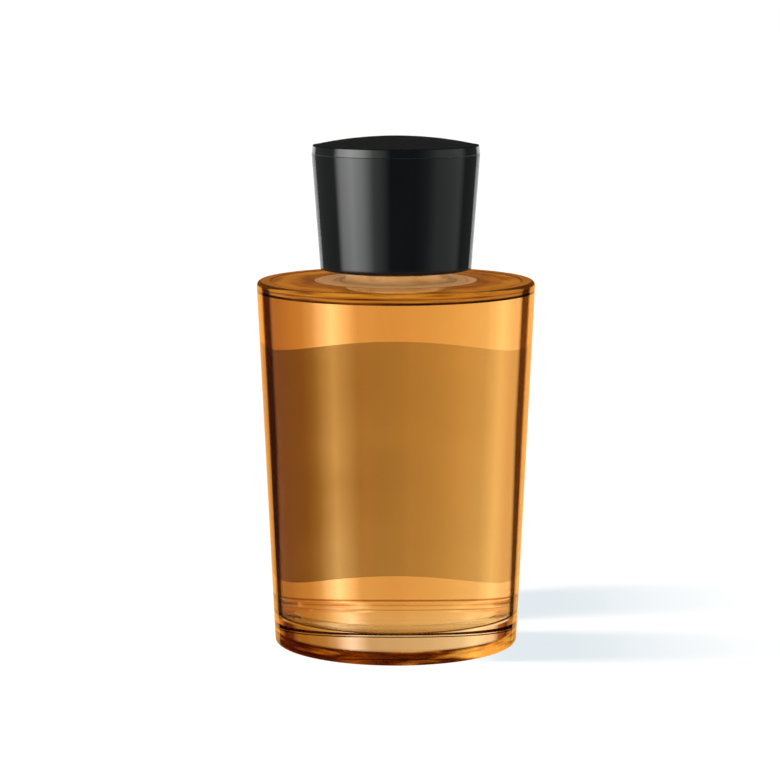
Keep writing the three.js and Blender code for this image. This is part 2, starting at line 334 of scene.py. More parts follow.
ROOM_LIGHT = (0.95, 1.03, 1.075)
GLOSS_DARK = (0.02, 0.02, 0.02)
CAP_SHEET = (1.2, 1.2, 1.2)
SHOULDER_SHEET = (0.3, 0.08, 0.0)
EDGE_SHEET = (1.2, 0.6, 0.15)
SUN_COLOUR = (0.31, 0.24, 0.2)
FLOOR_ALBEDO = 0.82


def body_radius(z):
    """Outer radius of the bottle wall at a height."""
    return FOOT_RADIUS + (SHOULDER_RADIUS - FOOT_RADIUS) * z / SHOULDER_HEIGHT


# ---------------------------------------------------------------- mesh helpers


def round_corner(before, corner, after, radius):
    """Points of the arc that rounds a corner of a profile, tangent to both edges."""
    c = Vector(corner)
    to_before = (Vector(before) - c).normalized()
    to_after = (Vector(after) - c).normalized()
    half = math.acos(max(-1, min(1, to_before.dot(to_after)))) / 2
    centre = c + (to_before + to_after).normalized() * radius / math.sin(half)
    tangent = radius / math.tan(half)
    start = c + to_before * tangent - centre
    end = c + to_after * tangent - centre
    a0 = math.atan2(start.y, start.x)
    sweep = math.atan2(end.y, end.x) - a0
    sweep = (sweep + math.pi) % TAU - math.pi
    angles = [a0 + sweep * i / ARC_STEPS for i in range(ARC_STEPS + 1)]
    return [(centre.x + radius * math.cos(a), centre.y + radius * math.sin(a)) for a in angles]


def step_toward(start, end):
    """A point a short step from one point to another, or none if they are close."""
    gap = math.dist(start, end)
    if gap < 3 * EDGE_STEP:
        return []
    return [tuple(a + (b - a) * EDGE_STEP / gap for a, b in zip(start, end))]


def rounded(outline):
    """An outline of (radius, height[, rounding]) corners, with the roundings made into arcs. A
    short step at each end of an arc keeps its shading off the straight parts."""
    points = []
    count = len(outline)
    for i, corner in enumerate(outline):
        if len(corner) == 3:
            before = outline[(i - 1) % count][:2]
            after = outline[(i + 1) % count][:2]
            arc = round_corner(before, corner[:2], after, corner[2])
            points += step_toward(arc[0], before) + arc + step_toward(arc[-1], after)
        else:
            points.append(tuple(corner))
    return points


def divided(points, longest):
    """The same outline with no step longer than a length, so that bumps and bends have points."""
    fine = [points[0]]
    for a, b in zip(points, points[1:]):
        parts = max(1, math.ceil(math.dist(a, b) / longest))
        fine += [(a[0] + (b[0] - a[0]) * k / parts, a[1] + (b[1] - a[1]) * k / parts)
                 for k in range(1, parts + 1)]
    return fine


def new_object(name, vertices, faces):
    mesh = bpy.data.meshes.new(name)
    mesh.from_pydata([[c * MM for c in v] for v in vertices], [], faces)
    mesh.validate()
    mesh.shade_smooth()
    obj = bpy.data.objects.new(name, mesh)
    bpy.context.scene.collection.objects.link(obj)
    return obj


def revolve(name, profile, segments=SEGMENTS, radius_at=None):
    """Turns a profile of (radius, height) points round the Z axis. A profile that doesn't start
    and end on the axis is closed on itself. radius_at(radius, height, angle) can change it."""
    vertices, rows = [], []
    for r, z in profile:
        if r < 1e-6:
            rows.append([len(vertices)])
            vertices.append((0, 0, z))
            continue
        rows.append(list(range(len(vertices), len(vertices) + segments)))
        for k in range(segments):
            a = TAU * k / segments
            rr = radius_at(r, z, a) if radius_at else r
            vertices.append((rr * math.cos(a), rr * math.sin(a), z))
    pairs = list(zip(rows, rows[1:]))
    if len(rows[0]) > 1:
        pairs.append((rows[-1], rows[0]))
    faces = []
    for low, high in pairs:
        for k in range(segments):
            n = (k + 1) % segments
            if len(low) == 1:
                faces.append((low[0], high[n], high[k]))
            elif len(high) == 1:
                faces.append((low[k], low[n], high[0]))
            else:
                faces.append((low[k], low[n], high[n], high[k]))
    return new_object(name, vertices, faces)


def crown(apex_height, rim_radius, rim_height):
    """A shallow parabola from the axis out to a rim, for a dome or a punt."""
    shares = [i / CURVE_STEPS for i in range(CURVE_STEPS + 1)]
    rise = rim_height - apex_height
    return [(rim_radius * share, apex_height + rise * share ** 2) for share in shares]


def bump(start, along, height):
    """Half a sine wave, as (distance along, rise) points that begin at a start."""
    shares = [i / BUMP_STEPS for i in range(BUMP_STEPS + 1)]
    return [(start + along * share, height * math.sin(math.pi * share)) for share in shares]


def thread_height(z, angle, start, turns):
    """How far a right-hand thread stands up at a place on its cylinder, from 0 to 1."""
    best = 0.0
    slope = (THREAD_BASE_WIDTH - THREAD_CREST_WIDTH) / 2
    for turn in range(math.ceil(turns) + 1):
        t = angle + TAU * turn
        if t > turns * TAU:
            break
        off = abs(z - start - THREAD_PITCH * t / TAU)
        flank = (THREAD_BASE_WIDTH / 2 - off) / slope
        fade = min(1, t / THREAD_FADE, (turns * TAU - t) / THREAD_FADE)
        best = max(best, max(0, min(1, flank)) * fade)
    return best


# ---------------------------------------------------------------- material helpers


def set_inputs(node, **values):
    for name, value in values.items():
        node.inputs[name.replace("_", " ")].default_value = value


class Nodes:
    """A node tree, and short calls that add a node and return the output that matters."""

    def __init__(self, tree):
        self.tree = tree
        self.nodes = tree.nodes

    def link(self, value, node_input):
        if isinstance(value, bpy.types.NodeSocket):
            self.tree.links.new(value, node_input)
        elif isinstance(value, tuple):
            node_input.default_value = (*value, 1)
        else:
            node_input.default_value = value

    def math(self, operation, *values):
        node = self.nodes.new("ShaderNodeMath")
        node.operation = operation
        for value, node_input in zip(values, node.inputs):
            self.link(value, node_input)
        return node.outputs["Value"]

    def coordinates(self, kind="Object"):
        return self.nodes.new("ShaderNodeTexCoord").outputs[kind]

    def split(self, vector):
        node = self.nodes.new("ShaderNodeSeparateXYZ")
        self.link(vector, node.inputs["Vector"])
        return node.outputs["X"], node.outputs["Y"], node.outputs["Z"]

    def remap(self, value, from_low, from_high, low=0.0, high=1.0, smooth=False):
        """A value stretched from one range to another, and held at the ends of the new one."""
        node = self.nodes.new("ShaderNodeMapRange")
        node.interpolation_type = "SMOOTHSTEP" if smooth else "LINEAR"
        set_inputs(node, From_Min=from_low, From_Max=from_high, To_Min=low, To_Max=high)
        self.link(value, node.inputs["Value"])
        return node.outputs["Result"]

    def ramp(self, value, stops):
        """A colour that follows a value, given as (value, colour or grey) stops."""
        low, high = stops[0][0], stops[-1][0]
        node = self.nodes.new("ShaderNodeValToRGB")
        self.link(self.remap(value, low, high), node.inputs["Fac"])
        elements = node.color_ramp.elements
        while len(elements) < len(stops):
            elements.new(0.5)
        for element, (at, colour) in zip(elements, stops):
            element.position = (at - low) / (high - low)
            element.color = (*colour, 1) if isinstance(colour, tuple) else (colour, colour, colour, 1)
        return node.outputs["Color"]

    def mix(self, factor, first, second, blend_type="MIX"):
        node = self.nodes.new("ShaderNodeMix")
        node.data_type = "RGBA"
        node.blend_type = blend_type
        node.clamp_result = False
        colours = [socket for socket in node.inputs if socket.type == "RGBA"]
        self.link(first, colours[0])
        self.link(second, colours[1])
        self.link(factor, node.inputs["Factor"])
        return next(socket for socket in node.outputs if socket.type == "RGBA")

    def attribute(self, name):
        node = self.nodes.new("ShaderNodeAttribute")
        node.attribute_name = name
        return node.outputs["Fac"]

    def from_axis(self):
        """Distance from the bottle's axis, in metres."""
        x, y, _ = self.split(self.coordinates())
        squares = self.math("ADD", self.math("MULTIPLY", x, x), self.math("MULTIPLY", y, y))
        return self.math("SQRT", squares)

    def upward(self):
        """The height of the surface's normal, from -1 facing down to 1 facing up."""
        return self.split(self.coordinates("Normal"))[2]

    def noise(self, scale, detail=3.0, stretch=(1, 1, 1)):
        """Noise in object space. Scale is in cells a metre, and stretch lengthens them."""
        mapping = self.nodes.new("ShaderNodeMapping")
        mapping.inputs["Scale"].default_value = [scale / s for s in stretch]
        texture = self.nodes.new("ShaderNodeTexNoise")
        set_inputs(texture, Scale=1.0, Detail=detail)
        self.link(self.coordinates(), mapping.inputs["Vector"])
        self.link(mapping.outputs["Vector"], texture.inputs["Vector"])
        return texture.outputs["Fac"]


class Material(Nodes):
    """A node material with one Principled shader. Values that are the same all over go on the
    shader's own sockets, and what varies is linked by set()."""

    def __init__(self, name, **principled):
        self.material = bpy.data.materials.new(name)
        self.material.use_nodes = True
        super().__init__(self.material.node_tree)
        self.shader = self.nodes["Principled BSDF"]
        self.output = self.nodes["Material Output"]
        set_inputs(self.shader, **principled)

    def set(self, name, value):
        self.link(value, self.shader.inputs[name])

    def absorb(self, red, green, blue):
        """Light lost to each colour, per metre of the way through the piece."""
        density = max(red, green, blue) * 1.02
        node = self.nodes.new("ShaderNodeVolumeAbsorption")
        colour = [1 - loss / density for loss in (red, green, blue)]
        set_inputs(node, Color=(*colour, 1), Density=density)
        self.link(node.outputs["Volume"], self.output.inputs["Volume"])

    def bump(self, height, strength, distance):
        node = self.nodes.new("ShaderNodeBump")
        set_inputs(node, Strength=strength, Distance=distance * MM)
        self.link(height, node.inputs["Height"])
        self.link(node.outputs["Normal"], self.shader.inputs["Normal"])


# ---------------------------------------------------------------- materials


def rings(m, across, around, detail=4):
    """Noise that runs in arcs round the axis: cells a millimetre across, and cells a turn."""
    x, y, _ = m.split(m.coordinates())
    angle = m.math("ARCTAN2", x, m.math("MULTIPLY", y, -1))
    place = m.nodes.new("ShaderNodeCombineXYZ")
    m.link(m.math("MULTIPLY", m.from_axis(), across / MM), place.inputs["X"])
    m.link(m.math("MULTIPLY", angle, around / TAU), place.inputs["Y"])
    texture = m.nodes.new("ShaderNodeTexNoise")
    set_inputs(texture, Scale=1.0, Detail=detail, Roughness=0.55)
    m.link(place.outputs["Vector"], texture.inputs["Vector"])
    return texture.outputs["Fac"]


def wall_tint(m, z):
    """Tint of the wall by how edge on it is seen, in narrower bands towards the foot, with a
    streaked one in the base. Just inside the edges of the wall and of the base the tint is painted
    shade, and on the edges it is painted amber light. What faces up or down stays clear."""
    weight = m.nodes.new("ShaderNodeLayerWeight")
    weight.inputs["Blend"].default_value = 0.5
    facing = weight.outputs["Facing"]
    narrower = m.remap(z, RIM_NARROW_BELOW * MM, RIM_WIDE_ABOVE * MM, RIM_NARROWING, 0)
    above_base = m.ramp(m.math("SUBTRACT", facing, narrower), GLASS_RIM)
    streaks = m.ramp(rings(m, across=0.2, around=6), BASE_STREAKS)
    base = m.mix(1, m.ramp(facing, BASE_RIM), streaks, "MULTIPLY")
    in_base = m.remap(z, (BASE_THICKNESS - 0.1) * MM, (BASE_THICKNESS + 0.2) * MM, 1, 0)
    on_wall = m.remap(m.math("ABSOLUTE", m.upward()), *WALL_FADE, 1, 0, smooth=True)
    return m.mix(on_wall, GLASS_CLEAR, m.mix(in_base, above_base, base))


def painted_heel_shade(m, x):
    """Upright streaks of painted shade and painted amber glints, lighter to the right."""
    glints_to_right = m.remap(x, 4 * MM, 12 * MM, 0, 0.1, smooth=True)
    streaks = m.noise(scale=260, detail=2, stretch=(3.5, 3.5, 0.5))
    return m.ramp(m.math("ADD", streaks, glints_to_right), HEEL_SHADE_AND_GLINTS)


def floor_shade_line(m, z):
    """1 in a thin band on the wall at the height of the floor, where a line of painted shade goes,
    and 0 above and below it.
    """
    low = FLOOR_LINE_HEIGHT - FLOOR_LINE_HALF
    high = FLOOR_LINE_HEIGHT + FLOOR_LINE_HALF
    from_below = m.remap(z, (low - FLOOR_LINE_FADE) * MM, low * MM)
    to_above = m.remap(z, high * MM, (high + FLOOR_LINE_FADE) * MM, 1, 0)
    return m.math("MULTIPLY", from_below, to_above)


def flint_glass():
    """Clear glass. Light that enters it is tinted by the wall, with painted shade and light at its
    edges, by a line of painted shade at the height of the floor, by painted shade and glints in the
    heel and by painted shade on the neck, and light that leaves by the underside is darkened to
    amber as painted shade. Its inner reflections are dimmed where the lotion wets it."""
    m = Material("flint_glass", Roughness=0.0, IOR=1.5, Transmission_Weight=1.0)
    m.absorb(*GLASS_ABSORPTION)
    x, _, z = m.split(m.coordinates())
    neck_foot = SHOULDER_HEIGHT + 0.05
    on_neck = m.remap(z, neck_foot * MM, (neck_foot + 0.35) * MM, smooth=True)
    on_heel = m.remap(z, (HEEL_TOP - 0.4) * MM, (HEEL_TOP + 0.1) * MM, 1, 0, smooth=True)
    entering = m.mix(on_neck, wall_tint(m, z), NECK_SHADE_TAN)
    entering = m.mix(floor_shade_line(m, z), entering, FLOOR_SHADE_LINE)
    entering = m.mix(on_heel, entering, painted_heel_shade(m, x))

    level = m.remap(m.math("ABSOLUTE", m.upward()), *UNDERSIDE_FADE)
    low = m.remap(z, UNDERSIDE_TOP * MM, (UNDERSIDE_TOP + 0.2) * MM, 1, 0)
    leaving = m.mix(m.math("MULTIPLY", level, low), GLASS_CLEAR, UNDERSIDE_SHADE)
    from_inside = m.nodes.new("ShaderNodeNewGeometry").outputs["Backfacing"]
    m.set("Base Color", m.mix(from_inside, entering, leaving))
    m.set("Specular Tint", m.mix(m.attribute("wetted"), WHITE, WETTED_GLOSS))
    m.bump(m.noise(scale=60, detail=1, stretch=(1, 1, 3)), strength=0.1, distance=0.05)
    return m.material


def amber_lotion():
    """Clear amber liquid. It reflects nothing, because it meets the glass with no air between."""
    m = Material("amber_lotion", Base_Color=(*WHITE, 1), Roughness=0.0, IOR=1.36,
                 Transmission_Weight=1.0, Specular_Tint=(*BLACK, 1))
    m.absorb(*LOTION_ABSORPTION)
    return m.material


def lotion_under_shoulder():
    """The lotion seen through the flat of the shoulder at so low an angle that only a glow with
    streaks shows, painted on an opaque skin. The glow is painted brighter outward, with painted shade
    in places on its rounded edge."""
    m = Material("lotion_under_shoulder", Roughness=0.5, Specular_IOR_Level=0.1)
    glow = m.ramp(rings(m, across=0.25, around=10), SHOULDER_GLOW)
    outward = m.remap(m.from_axis(), 18 * MM, 23 * MM, smooth=True)
    glow = m.mix(outward, glow, SHOULDER_GLOW_OUTWARD, "MULTIPLY")
    edge = m.ramp(rings(m, across=0.05, around=9), SHOULDER_EDGE_GLOW)
    m.set("Base Color", m.mix(m.remap(m.upward(), 0.6, 0.95, smooth=True), edge, glow))
    return m.material


def shoulder_rim():
    """The top of the wall beside the lotion, with the lotion's glow painted on it."""
    m = Material("shoulder_rim", Roughness=0.05, IOR=1.5)
    m.set("Base Color", m.ramp(rings(m, across=0.2, around=8), RIM_GLOW))
    return m.material


def neck_ring():
    """The ring on the shoulder and the foot of the neck inside it: tan, a painted stand-in for the
    lotion seen through the shoulder, dimmed as painted shade under the cap, with fine lines and a
    dark outline of painted shade."""
    m = Material("neck_ring", Roughness=0.5, Specular_IOR_Level=0.05)
    lines = m.ramp(rings(m, across=1.3, around=7, detail=3), RING_LINES)
    outline_start = NECK_RING_RADIUS - 0.7
    outline_full = NECK_RING_RADIUS - 0.3
    outline = m.remap(m.from_axis(), outline_start * MM, outline_full * MM, smooth=True)
    m.set("Base Color", m.mix(outline, lines, RING_SHADE_OUTLINE))
    return m.material


def label_film():
    """A see-through film with nothing printed on it, tinted darker to the left as seen from the
    front: painted shade.
    """
    m = Material("label_film", Roughness=0.0, IOR=1.0, Transmission_Weight=1.0)
    x, _, _ = m.split(m.coordinates())
    cloud = m.remap(m.noise(scale=70, detail=2), 0.3, 0.7, -FILM_CLOUD * MM, FILM_CLOUD * MM)
    tint = [(at * MM, colour) for at, colour in FILM_TINT]
    m.set("Base Color", m.ramp(m.math("ADD", x, cloud), tint))
    return m.material


def insert_plastic():
    m = Material("insert_plastic", Roughness=0.35, Subsurface_Weight=0.3, Subsurface_Scale=0.002)
    m.set("Base Color", m.ramp(m.noise(scale=400), INSERT_WHITE))
    return m.material


def liner_foam():
    m = Material("liner_foam", Roughness=0.8)
    cells = m.noise(scale=2500, detail=1)
    m.set("Base Color", m.ramp(cells, LINER_WHITE))
    m.bump(cells, strength=0.5, distance=0.1)
    return m.material


def inner_cap_plastic():
    m = Material("inner_cap_plastic", Base_Color=(*INNER_CAP_BLACK, 1))
    m.set("Roughness", m.remap(m.noise(scale=800), 0.3, 0.7, 0.38, 0.52))
    return m.material


def black_gloss():
    """Polished black plastic, painted lighter on what faces up: a painted sheen of light from above.
    """
    m = Material("black_gloss", IOR=1.5)
    smears = m.noise(scale=120, detail=4, stretch=(1, 1, 3))
    top_sheen = m.mix(m.remap(m.noise(scale=90), 0.3, 0.7), *CAP_TOP_SHEEN)
    facing_up = m.remap(m.upward(), 0.7, 0.97)
    m.set("Base Color", m.mix(facing_up, m.ramp(smears, CAP_BLACK), top_sheen))
    m.set("Roughness", m.remap(smears, 0.3, 0.7, 0.06, 0.12))
    return m.material


def finish_piece(piece, materials, body, node):
    """Gives a piece its materials, and says what it moves with and which CAD node it replaces."""
    for material in materials:
        piece.data.materials.append(material)
    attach(piece, body)
    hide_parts(node)
    return piece


# ---------------------------------------------------------------- the bottle


def inner_shoulder_height(r):
    """Height of the underside of the shoulder, which climbs from the wall to the neck."""
    low = SHOULDER_HEIGHT - SHOULDER_THICKNESS_OUTER
    high = SHOULDER_HEIGHT - SHOULDER_THICKNESS_NECK
    wall = body_radius(low) - WALL
    return low + (high - low) * (wall - r) / (wall - NECK_BORE_RADIUS)


def mark_wetted(glass):
    """Marks the points of the glass that the lotion touches."""
    top = SHOULDER_HEIGHT - SHOULDER_THICKNESS_NECK + 0.1
    wetted = glass.data.attributes.new("wetted", "FLOAT", "POINT")
    for vertex, mark in zip(glass.data.vertices, wetted.data):
        z = vertex.co.z / MM
        r = math.hypot(vertex.co.x, vertex.co.y) / MM
        inside = r < body_radius(z) - WALL / 2
        mark.value = float(inside and BASE_THICKNESS - TOLERANCE < z < top)


def assign_opaque_parts(glass):
    """Gives the ring with the foot of the neck, and the top of the wall, their own materials."""
    ring, rim = 1, 2
    for face in glass.data.polygons:
        away = math.hypot(face.center.x, face.center.y) / MM
        up = face.center.z / MM - SHOULDER_HEIGHT
        if up < -TOLERANCE:
            continue
        if up < NECK_RING_TOP and NECK_RADIUS - TOLERANCE < away < NECK_RING_RADIUS:
            face.material_index = ring
        elif SHOULDER_RADIUS - WALL < away:
            face.material_index = rim


def bottle_glass():
    """The bottle in one piece with its neck, whose thread is pushed out of a straight wall."""
    bearing_outer = FOOT_RADIUS - HEEL_RADIUS
    bearing_inner = bearing_outer - BEARING_RING_WIDTH
    inner_top = SHOULDER_HEIGHT - SHOULDER_THICKNESS_OUTER
    outline = crown(PUNT_DEPTH, bearing_inner, 0) + rounded([
        (bearing_inner + EDGE_STEP, 0),
        (body_radius(0), 0, HEEL_RADIUS),
        (SHOULDER_RADIUS, SHOULDER_HEIGHT, SHOULDER_EDGE_RADIUS),
        (SHOULDER_RADIUS - WALL, SHOULDER_HEIGHT),
        (NECK_RING_RADIUS, SHOULDER_HEIGHT),
        (NECK_RADIUS, SHOULDER_HEIGHT, NECK_ROOT_FILLET),
        (NECK_RADIUS, LIP_HEIGHT, LIP_ROUNDING),
        (NECK_BORE_RADIUS, LIP_HEIGHT, LIP_ROUNDING),
        (NECK_BORE_RADIUS, SHOULDER_HEIGHT - SHOULDER_THICKNESS_NECK, NECK_ROOT_FILLET),
        (body_radius(inner_top) - WALL, inner_top, INNER_SHOULDER_FILLET),
        (body_radius(BASE_THICKNESS) - WALL, BASE_THICKNESS, INNER_FLOOR_FILLET),
        (0, BASE_THICKNESS),
    ])

    def radius_at(r, z, angle):
        on_neck = abs(r - NECK_RADIUS) < TOLERANCE and z > NECK_THREAD_START - THREAD_PITCH
        if not on_neck:
            return r
        return r + THREAD_DEPTH * thread_height(z, angle, NECK_THREAD_START, NECK_THREAD_TURNS)

    neck = [p for p in outline if abs(p[0] - NECK_RADIUS) < TOLERANCE]
    first = outline.index(neck[0])
    fine = outline[:first] + divided(neck, THREAD_MESH_STEP) + outline[first + len(neck):]
    glass = revolve("bottle_glass_body", fine, radius_at=radius_at)
    mark_wetted(glass)
    assign_opaque_parts(glass)
    return glass


def aftershave_lotion():
    """The lotion wets the glass, so its skin lies just inside the glass. It fills the body and
    stands level in the foot of the neck."""
    grow = LOTION_OVERLAP
    floor = BASE_THICKNESS - grow
    top = SHOULDER_HEIGHT - SHOULDER_THICKNESS_OUTER + grow
    inner_edge = NECK_BORE_RADIUS + NECK_ROOT_FILLET
    lotion = revolve("aftershave_lotion_fill", rounded([
        (0, floor),
        (body_radius(floor) - WALL + grow, floor, INNER_FLOOR_FILLET),
        (body_radius(top) - WALL + grow, top, INNER_SHOULDER_FILLET),
        (inner_edge, inner_shoulder_height(inner_edge) + grow),
        (inner_edge - 0.3, LOTION_LEVEL),
        (0, LOTION_LEVEL),
    ]))
    under_shoulder = 1
    for face in lotion.data.polygons:
        if face.normal.z > 0.1 and face.center.z > SHOULDER_HEIGHT / 2 * MM:
            face.material_index = under_shoulder
    return lotion


def rear_label():
    """A thin film with rounded corners, wrapped round the back of the body."""
    across, up = LABEL_COLUMNS, LABEL_ROWS
    side = LABEL_CORNER / (LABEL_HALF_ANGLE * FOOT_RADIUS)
    front, back, faces = [], [], []
    for j in range(up + 1):
        for i in range(across + 1):
            s = 2 * i / across - 1
            inset = max(0, (abs(s) - 1 + side) / side)
            corner = LABEL_CORNER * (1 - math.sqrt(max(0, 1 - inset * inset)))
            low = LABEL_BOTTOM + corner - LABEL_BOTTOM_ARCH * s * s
            high = LABEL_TOP - corner - LABEL_TOP_ARCH * s * s
            z = low + (high - low) * j / up
            a = math.pi / 2 - s * LABEL_HALF_ANGLE
            r = body_radius(z) + LABEL_GAP
            front.append((r * math.cos(a), r * math.sin(a), z))
            r += LABEL_THICKNESS
            back.append((r * math.cos(a), r * math.sin(a), z))
    row = across + 1
    total = len(front)
    for j in range(up):
        for i in range(across):
            k = j * row + i
            faces.append((k, k + 1, k + row + 1, k + row))
            faces.append((total + k, total + k + row, total + k + row + 1, total + k + 1))
    edge = list(range(row))
    edge += [j * row + across for j in range(1, up + 1)]
    edge += [up * row + i for i in range(across - 1, -1, -1)]
    edge += [j * row for j in range(up - 1, 0, -1)]
    for a, b in zip(edge, edge[1:] + edge[:1]):
        faces.append((b, a, total + a, total + b))
    return new_object("rear_label_film", front + back, faces)


# ---------------------------------------------------------------- insert, liner and cap

INSERT_UNDERSIDE = LIP_HEIGHT + REST_GAP
INSERT_TOP = INSERT_UNDERSIDE + INSERT_FLANGE_THICKNESS
LINER_BOTTOM = INSERT_TOP + REST_GAP
LINER_TOP = LINER_BOTTOM + LINER_THICKNESS
ROOF_BOTTOM = LINER_TOP + REST_GAP
ROOF_TOP = ROOF_BOTTOM + INNER_CAP_ROOF


def pour_insert():
    """A plug with a pouring hole. Two beads round its stem grip the bore of the neck."""
    stem_end = INSERT_UNDERSIDE - INSERT_STEM_LENGTH
    stem_inner = INSERT_STEM_RADIUS - INSERT_STEM_WALL
    hole_bottom = INSERT_UNDERSIDE - INSERT_HOLE_DEPTH
    beads = []
    for place in INSERT_BEAD_PLACES:
        bead = bump(stem_end + place - INSERT_BEAD_WIDTH / 2, INSERT_BEAD_WIDTH, INSERT_BEAD)
        beads += [(INSERT_STEM_RADIUS + rise, z) for z, rise in bead]
    return revolve("pour_insert_plug", rounded([
        (stem_inner, stem_end, SMALL_ROUNDING),
        (INSERT_STEM_RADIUS - INSERT_STEM_TAPER, stem_end, SMALL_ROUNDING),
        (INSERT_STEM_RADIUS, stem_end + INSERT_STEM_TAPER_HEIGHT),
        *beads,
        (INSERT_STEM_RADIUS, INSERT_UNDERSIDE),
        (INSERT_FLANGE_RADIUS, INSERT_UNDERSIDE, SMALL_ROUNDING),
        (INSERT_FLANGE_RADIUS, INSERT_TOP, PLUG_ROUNDING),
        (POUR_HOLE_RADIUS, INSERT_TOP, POUR_HOLE_ROUNDING),
        (POUR_HOLE_RADIUS, hole_bottom),
        (stem_inner, hole_bottom),
    ]))


def sealing_liner():
    """A foam disc, dented a little where the lip presses it."""
    dent = bump(LINER_DENT_RADIUS, LINER_DENT_WIDTH, LINER_DENT_DEPTH)
    return revolve("sealing_liner_disc", rounded([
        (0, LINER_BOTTOM),
        *[(r, LINER_BOTTOM + rise) for r, rise in dent],
        (LINER_RADIUS, LINER_BOTTOM, SMALL_ROUNDING),
        (LINER_RADIUS, LINER_TOP, SMALL_ROUNDING),
        (0, LINER_TOP),
    ]))


def threaded_inner_cap():
    """The closure: a cup with a thread inside and grip ribs outside, both pushed out of straight
    walls that have points every short step."""
    bore = NECK_RADIUS + THREAD_DEPTH + THREAD_CLEARANCE
    outside = bore + INNER_CAP_WALL
    bottom = CAP_BOTTOM + INNER_CAP_RECESS
    thread_start = NECK_THREAD_START - THREAD_PITCH / 2
    thread_wall = [(bore, ROOF_BOTTOM), (bore, bottom + 0.3)]
    rib_wall = [(outside, bottom + 0.3), (outside, ROOF_TOP - 0.5)]
    inner_corner = (bore, bottom)
    outer_corner = (outside, bottom)
    roof_corner = (outside, ROOF_TOP)
    outline = [(0, ROOF_BOTTOM)]
    outline += divided(thread_wall, THREAD_MESH_STEP)
    outline += round_corner(thread_wall[-1], inner_corner, outer_corner, SMALL_ROUNDING)
    outline += round_corner(inner_corner, outer_corner, roof_corner, SMALL_ROUNDING)
    outline += divided(rib_wall, RIB_MESH_STEP)
    outline += round_corner(outer_corner, roof_corner, (0, ROOF_TOP), INNER_CAP_ROOF_ROUNDING)
    outline += [(0, ROOF_TOP)]

    def radius_at(r, z, angle):
        if abs(r - bore) < TOLERANCE:
            return r - THREAD_DEPTH * thread_height(z, angle, thread_start, CAP_THREAD_TURNS)
        if abs(r - outside) < TOLERANCE:
            along = min(z - bottom - GRIP_RIB_END, ROOF_TOP - GRIP_RIB_END - z)
            wave = math.cos(angle * GRIP_RIBS - math.pi) ** 3
            return r + GRIP_RIB_HEIGHT * max(0, wave) * max(0, min(1, along / GRIP_RIB_FADE))
        return r

    return revolve("threaded_inner_cap_cup", outline, segments=RIBBED_SEGMENTS, radius_at=radius_at)


def cap_shell():
    """The sleeve: a bore that holds the inner cap, and a wider chamber above for the spigot."""
    return revolve("cap_shell_cone", rounded([
        (CAP_BORE_RADIUS, CAP_BOTTOM, CAP_BORE_ROUNDING),
        (CAP_BOTTOM_RADIUS, CAP_BOTTOM, CAP_LOWER_EDGE_RADIUS),
        (CAP_JOINT_RADIUS, CAP_JOINT_HEIGHT, CAP_JOINT_ROUNDING),
        (CAP_CHAMBER_RADIUS, CAP_JOINT_HEIGHT, CAP_BORE_ROUNDING),
        (CAP_CHAMBER_RADIUS, CAP_CHAMBER_BOTTOM),
        (CAP_BORE_RADIUS, CAP_BORE_TOP),
    ]))


def cap_top():
    """The domed top, with the spigot that plugs it into the sleeve."""
    seat = CAP_JOINT_HEIGHT + CAP_JOINT_GAP
    spigot_end = seat - CAP_SPIGOT_DEPTH
    spigot_inner = CAP_SPIGOT_RADIUS - CAP_SPIGOT_WALL
    apex = CAP_RIM_HEIGHT + CAP_DOME_HEIGHT
    dome = crown(apex, CAP_RIM_RADIUS - CAP_RIM_ROUNDING, CAP_RIM_HEIGHT)[::-1]
    shape = rounded([
        (0, apex - CAP_TOP_THICKNESS),
        (spigot_inner, CAP_RIM_HEIGHT - CAP_CEILING_DROP),
        (spigot_inner, spigot_end, SMALL_ROUNDING),
        (CAP_SPIGOT_RADIUS, spigot_end, PLUG_ROUNDING),
        (CAP_SPIGOT_RADIUS, seat),
        (CAP_JOINT_RADIUS - CAP_TOP_INSET, seat, CAP_JOINT_ROUNDING),
        (CAP_RIM_RADIUS, CAP_RIM_HEIGHT, CAP_RIM_ROUNDING),
        dome[1],
    ])
    return revolve("cap_top_dome", shape[:-1] + dome[1:])


# ---------------------------------------------------------------- light and camera


def world():
    """A white room. What the camera sees, what lights the floor, what the gloss reflects and what
    the glass shows behind itself are set apart by the kind of ray. For the glass the front half
    repeats the back half."""
    scene_world = bpy.data.worlds.new("studio")
    bpy.context.scene.world = scene_world
    scene_world.use_nodes = True
    scene_world.cycles.sampling_method = "NONE"
    w = Nodes(scene_world.node_tree)
    x, y, _ = w.split(w.coordinates("Generated"))
    azimuth = w.math("DEGREES", w.math("ARCTAN2", x, w.math("ABSOLUTE", y)))
    behind_glass = w.ramp(azimuth, BEHIND_GLASS)
    rays = w.nodes.new("ShaderNodeLightPath").outputs
    colour = w.mix(rays["Is Camera Ray"], ROOM_LIGHT, WHITE)
    mirrored = w.math("SUBTRACT", rays["Is Glossy Ray"], rays["Is Transmission Ray"])
    colour = w.mix(w.math("MAXIMUM", mirrored, 0), colour, GLOSS_DARK)
    colour = w.mix(rays["Is Transmission Ray"], colour, behind_glass)
    w.link(colour, w.nodes["Background"].inputs["Color"])


def camera():
    data = bpy.data.cameras.new("camera")
    data.sensor_width = CAMERA_SENSOR
    data.lens = CAMERA_LENS
    obj = bpy.data.objects.new("camera", data)
    obj.location = [c * MM for c in CAMERA_PLACE]
    obj.rotation_euler = (math.pi / 2 - CAMERA_TILT_DOWN, 0, 0)
    bpy.context.scene.collection.objects.link(obj)
    bpy.context.scene.camera = obj


def hide_from(obj, *kinds):
    for kind in kinds:
        setattr(obj, "visible_" + kind, False)


